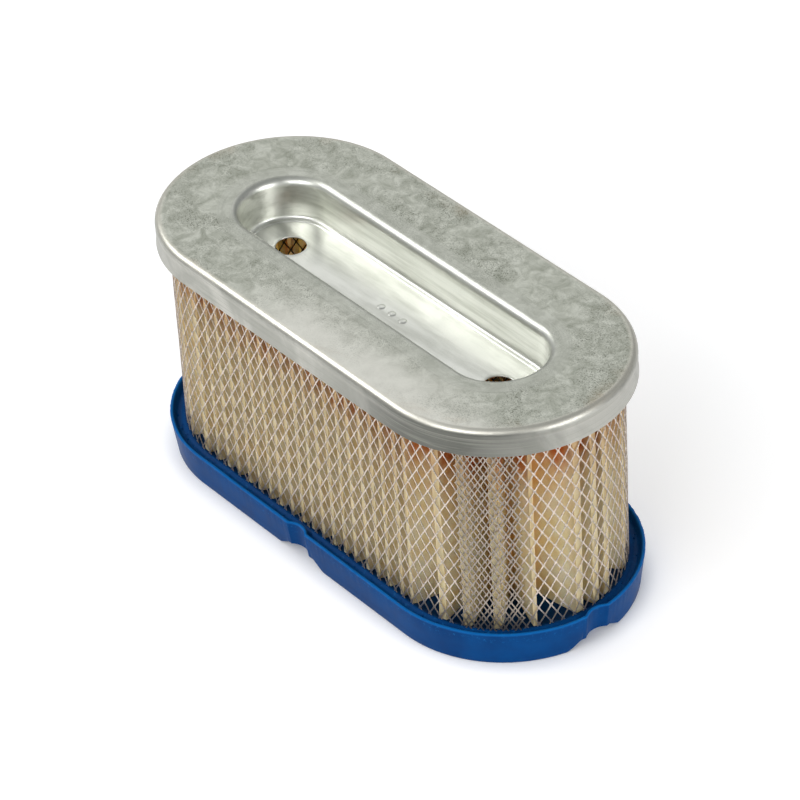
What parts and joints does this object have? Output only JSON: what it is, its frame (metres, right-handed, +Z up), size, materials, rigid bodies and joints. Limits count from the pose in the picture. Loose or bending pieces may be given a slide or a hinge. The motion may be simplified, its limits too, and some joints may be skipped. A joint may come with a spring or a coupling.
{
  "type": "oval air filter cartridge",
  "caption": "Oval pleated air filter cartridge with a pressed steel top pan, expanded metal screens and a moulded blue base seal.",
  "frame": {"origin": "centre of the seal's underside, where the cartridge rests", "axes": "+X along the oval's long axis through both stud holes, +Y across the oval, +Z up from the seal towards the pan"},
  "size_m": [0.1618, 0.0742, 0.0765],
  "materials": {
    "zinc_steel": "zinc-coated pressed sheet, satin, faintly mottled",
    "adhesive": "set plastisol, brown orange, matt",
    "filter_paper": "resin-treated pleated cellulose, matt cream",
    "screen_steel": "expanded mild steel, zinc-coated, satin",
    "polyurethane": "poured soft polyurethane, deep blue, semi-gloss"
  },
  "bodies": {
    "root": {"top_pan": "zinc_steel", "top_potting": "adhesive", "pleat_pack": "filter_paper", "pleat_seam": "adhesive", "outer_screen": "screen_steel", "inner_screen": "screen_steel", "base_seal": "polyurethane"}
  },
  "joints": []
}
